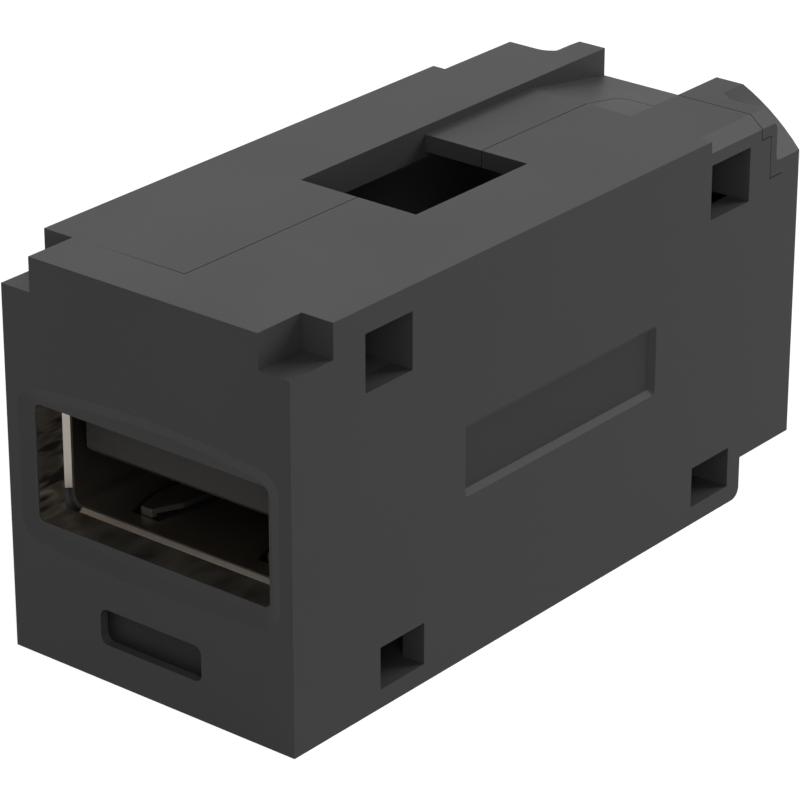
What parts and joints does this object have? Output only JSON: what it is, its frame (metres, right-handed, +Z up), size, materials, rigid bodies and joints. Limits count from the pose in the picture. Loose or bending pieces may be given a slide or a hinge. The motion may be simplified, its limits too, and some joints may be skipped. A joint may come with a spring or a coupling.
{
  "type": "usb keystone jack",
  "caption": "Snap-in coupler module for a faceplate with a USB A socket at each end, in a two-part dark plastic casing",
  "frame": {"origin": "under the middle of the casing, on the plane that it rests on", "axes": "+X to the side with the four windows and the label recess, +Y from the front port to the rear port, +Z up to the side with the top window"},
  "size_m": [0.0162, 0.0366, 0.0191],
  "materials": {
    "casing": "smooth satin moulding, near black",
    "steel": "plated sheet, soft sheen",
    "insulator": "moulded, black",
    "board": "dark green solder mask",
    "contacts": "gold plated"
  },
  "bodies": {
    "root": {"right_shell": "casing", "left_shell": "casing", "front_collar": "steel", "rear_collar": "steel", "front_receptacle_shell": "steel", "rear_receptacle_shell": "steel", "front_insulator": "insulator", "rear_insulator": "insulator", "circuit_board": "board", "front_contact_1": "contacts", "front_contact_2": "contacts", "front_contact_3": "contacts", "front_contact_4": "contacts", "rear_contact_1": "contacts", "rear_contact_2": "contacts", "rear_contact_3": "contacts", "rear_contact_4": "contacts"}
  },
  "joints": []
}
